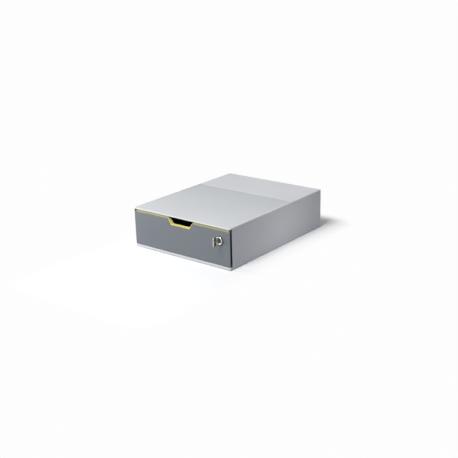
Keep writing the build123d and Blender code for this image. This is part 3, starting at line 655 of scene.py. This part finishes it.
def key_bow(start, length, rise, height, thickness):
    """Rounded bow with two pockets on each face, which leave a rim and a bar, in millimetres."""
    corner, rounding, square = 5.2, 0.3, 60
    rim, pocket_slope, pocket_depth = 1.7, 0.25, 0.5
    mesh = rounded_plate((start + length / 2, rise), (length, height), corner, thickness)
    edges = [edge for edge in mesh.edges if edge.calc_face_angle(0) > radians(square)]
    bmesh.ops.bevel(mesh, geom=edges, offset=rounding * MM, affect="EDGES", segments=3,
                    profile=0.5, material=-1)
    halves = cut_lines(mesh, broad(mesh.faces), (0, 0, 1), (rise,))
    bmesh.ops.inset_individual(mesh, faces=halves, thickness=rim * MM, depth=0)
    bmesh.ops.inset_individual(mesh, faces=halves, thickness=pocket_slope * MM,
                               depth=-pocket_depth * MM)
    return mesh


def key_blade(start, tip, thickness):
    """Blade stepped by the cuts on both edges, with a groove in each face, in millimetres."""
    half_height, point_length, point_height = 3.7, 2.2, 1.1
    groove, groove_slope, groove_depth = 1.4, 0.15, 0.45
    cuts, first_cut, spacing = (0.7, 1.3, 0.4, 1.1, 0.8), 1.3, 2.8
    mouth, root = 0.9, 0.35             # half widths of a cut
    upper, lower = [(start, half_height)], [(start, -half_height)]
    for number, (low_cut, high_cut) in enumerate(zip(cuts, reversed(cuts))):
        place = first_cut + spacing * number
        for points, edge, cut in ((upper, half_height, -high_cut), (lower, -half_height, low_cut)):
            points += [(place - mouth, edge), (place - root, edge + cut)]
            points += [(place + root, edge + cut), (place + mouth, edge)]
    upper += [(tip - point_length, half_height), (tip, point_height)]
    lower += [(tip - point_length, -half_height), (tip, -point_height)]
    mesh = bmesh.new()
    side = [mesh.verts.new((-thickness / 2 * MM, y * MM, z * MM))
            for y, z in upper + list(reversed(lower))]
    thicken(mesh, mesh.faces.new(side), thickness)
    strips = cut_lines(mesh, broad(mesh.faces), (0, 0, 1), (-groove / 2, groove / 2))
    grooves = [face for face in broad(strips)
               if abs(face.calc_center_median().z) < groove / 2 * MM]
    bmesh.ops.inset_individual(mesh, faces=grooves, thickness=groove_slope * MM,
                               depth=-groove_depth * MM)
    return mesh


def make_key():
    """Flat key: a rimmed bow with a bar across it, a collar and a cut and grooved blade."""
    bow_length, bow_overlap, blade_overlap = 12.0, 0.6, 0.2
    collar_height, collar_corner, shoulder_gap = 9.0, 0.7, 0.3
    low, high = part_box("key")
    thickness, bow_height = (high.x - low.x) / MM, (high.z - low.z) / MM
    blade_thickness = thickness - 0.1   # the collar's too
    bow_rise = ((high.z + low.z) / 2 - LOCK_Z) / MM
    bow_start, tip = (low.y - FRONT) / MM, (high.y - FRONT) / MM
    collar_start = bow_start + bow_length - bow_overlap
    shoulder = (LOCK_FACE - FRONT) / MM - shoulder_gap
    bow = key_bow(bow_start, bow_length, bow_rise, bow_height, thickness)
    collar = rounded_plate(((collar_start + shoulder) / 2, 0),
                           (shoulder - collar_start, collar_height), collar_corner, blade_thickness)
    blade = key_blade(shoulder - blade_overlap, tip, blade_thickness)
    mesh = join((bow, collar, blade))
    bmesh.ops.translate(mesh, verts=mesh.verts, vec=(LOCK_X, FRONT, LOCK_Z))
    add_piece(mesh, "flat_key", "key")


# ---------------------------------------------------------------------------
# Screws and feet
# ---------------------------------------------------------------------------
def screw_shank(shank, start, length):
    """Outline of a threaded shank and its point."""
    pitch = 0.9 * shank ** 0.5
    outline = thread(shank * THREAD_ROOT, shank, pitch, start, length - POINT_LENGTH * shank)
    return outline + [(shank * POINT_TIP, length - 0.1), (0, length)]


def pan_screw(shank, head, head_height, length):
    """Pan-head screw along +Z, with the underside of its head at the origin."""
    rounding = HEAD_ROUNDING * head_height
    flat = head - rounding
    outline = [(0, -head_height), (flat, -head_height)]
    outline += arc((flat, rounding - head_height), rounding, -90, 0, steps=6)[1:]
    outline += [(head, -HEAD_EDGE), (head - HEAD_EDGE, 0), (shank, 0)]
    outline += screw_shank(shank, 0.3, length)
    mesh = bmesh.new()
    turned(mesh, outline, SCREW_STEPS)
    sink_cross(mesh, -head_height, CROSS_REACH * head, PAN_CROSS * head_height)
    return mesh


def flat_screw(shank, head, head_height, length):
    """Countersunk screw along +Z, with its head face at the origin."""
    outline = [(0, 0), (head - 0.1, 0), (head, HEAD_EDGE), (shank, head_height)]
    outline += screw_shank(shank, head_height + 0.2, length)
    mesh = bmesh.new()
    turned(mesh, outline, SCREW_STEPS)
    sink_cross(mesh, 0, CROSS_REACH * head, FLAT_CROSS * head_height)
    return mesh


def place_screws(name, node, make_screw, size, direction_of):
    """One screw at each solid of a CAD node, its head where that solid's head is."""
    proud = size[2] if make_screw is pan_screw else 0
    pattern = make_screw(*size)
    copy = bpy.data.meshes.new("pattern")
    pattern.to_mesh(copy)
    pattern.free()
    group = bmesh.new()
    for low, high in solids(node):
        direction = Vector(direction_of(low))
        half = abs((high - low).dot(direction)) / 2
        place = (low + high) / 2 - direction * (half - proud * MM)
        already = len(group.verts)
        group.from_mesh(copy)
        group.verts.ensure_lookup_table()
        bmesh.ops.transform(group, verts=group.verts[already:], matrix=pointing(place, direction))
    bpy.data.meshes.remove(copy)
    add_piece(group, name, node)


def upwards(low):
    """Direction of screws driven from below."""
    return (0, 0, 1)


def forwards(low):
    """Direction of screws driven from behind."""
    return (0, -1, 0)


def outwards(low):
    """Direction of screws driven into the side walls from inside."""
    return (1, 0, 0) if low.x > 0 else (-1, 0, 0)


def make_screws():
    """Every group of screws: radius of shank and head, the head's height and the length."""
    place_screws("base_plate_screws", "base_screws", flat_screw, (1.4, 2.75, 1.9, 11.0), upwards)
    place_screws("back_panel_screws", "back_screws", pan_screw, (1.4, 2.8, 1.9, 11.0), forwards)
    place_screws("runner_fixing_screws", "runner_screws", flat_screw, (1.05, 2.25, 1.2, 3.9), outwards)
    place_screws("keeper_fixing_screws", "keeper_screws", pan_screw, (1.05, 2.3, 1.2, 3.4), upwards)
    place_screws("front_fixing_screws", "front_screws", pan_screw, (1.4, 2.8, 1.9, 6.6), forwards)
    place_screws("cam_fixing_screw", "cam_screw", pan_screw, (1.55, 3.5, 2.4, 5.6), forwards)


def make_feet():
    """Round rubber feet with a ring tread underneath."""
    tread_depth, tread_slope, rounding = 0.35, 0.3, 0.5
    pit, ring_start, ring_end = 1.2, 2.9, 4.3
    tread = [(0, tread_depth), (pit, tread_depth), (pit + tread_slope, 0)]
    tread += [(ring_start - tread_slope, 0), (ring_start, tread_depth)]
    tread += [(ring_end, tread_depth), (ring_end + tread_slope, 0)]
    for end in ("front", "back"):
        for side in ("left", "right"):
            node = f"foot_{end}_{side}"
            low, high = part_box(node)
            radius, tall = (high.x - low.x) / 2 / MM, (high.z - low.z) / MM
            edge = arc((radius - rounding, rounding), rounding, -90, 0, steps=5)
            mesh = bmesh.new()
            turned(mesh, tread + edge + [(radius, tall), (0, tall)], FOOT_STEPS)
            place = ((low.x + high.x) / 2, (low.y + high.y) / 2, low.z)
            bmesh.ops.translate(mesh, verts=mesh.verts, vec=place)
            add_piece(mesh, f"rubber_foot_{end}_{side}", node)


# ---------------------------------------------------------------------------
# Stage, finishes and pieces
# ---------------------------------------------------------------------------
place_camera()
lay_floor()
light_scene()

# one finish for each material slot of the record
finishes = {
    "housing_plastic": moulded("housing_plastic", srgb(214, 216, 218), grain=0.45),
    "front_plastic": moulded("front_plastic", srgb(118, 123, 129), grain=0.45),
    "tray_plastic": moulded("tray_plastic", srgb(92, 95, 99), grain=0.7),
    "trim_plastic": moulded("trim_plastic", srgb(246, 236, 132), grain=0.35, gloss=(0.34, 0.44)),
    "runner_plastic": moulded("runner_plastic", srgb(70, 72, 76), grain=0.6, gloss=(0.3, 0.4)),
    "foot_rubber": rubber("foot_rubber", srgb(42, 42, 43)),
    "lock_nickel": metal("lock_nickel", (0.62, 0.60, 0.56), gloss=(0.12, 0.17), depth=0.0005),
    # the plug's metal is kept far darker than nickel: painted shade for the dark middle of the lock
    "plug_nickel": metal("plug_nickel", (0.17, 0.16, 0.145), gloss=(0.25, 0.36)),
    "wafer_brass": metal("wafer_brass", (0.78, 0.62, 0.33), gloss=(0.25, 0.4)),
    "zinc_steel": metal("zinc_steel", (0.62, 0.63, 0.64), gloss=(0.3, 0.45), grain=0.2,
                        stretch=(0.15, 1, 1)),
    "screw_steel": metal("screw_steel", (0.55, 0.56, 0.57), gloss=(0.25, 0.4)),
    "key_nickel": metal("key_nickel", (0.64, 0.62, 0.57), gloss=(0.17, 0.23), depth=0.0006),
}
# painted shade in the key's pockets and grooves
recess_shade_painted(finishes["key_nickel"], "key", (0.23, 0.225, 0.21))
# painted shade on the top's sunk field, darker towards the step
sunk_field_painted_shade(finishes["housing_plastic"], shade(srgb(208, 211, 214), 0.85))
# painted shade: near-black ends of the drawer front, for the shaded gap at its sides
gap_shade_painted_on_ends(finishes["front_plastic"], "drawer_front", (0.02, 0.021, 0.023))
# painted shade of the hem on the trim's band
hem_shade_painted_on_band(finishes["trim_plastic"], srgb(213, 204, 142))
# painted shade: near-black ends of the trim, for the shaded gap at its sides
gap_shade_painted_on_ends(finishes["trim_plastic"], "colour_trim", (0.02, 0.021, 0.023))
# painted shade and dark reflection on the lock head's flank
skirt_shade_painted(finishes["lock_nickel"], (0.13, 0.127, 0.12))
# painted shade on the side walls' front edges
gap_shade_painted_on_walls(finishes["housing_plastic"], (0.03, 0.031, 0.034))

for node_name, slot in slots.items():
    mesh = nodes[node_name].data
    mesh.materials.clear()
    mesh.materials.append(finishes[slot])

make_lock_body()
make_lock_nut()
make_key()
make_screws()
make_feet()

bpy.context.scene.view_settings.view_transform = "Standard"
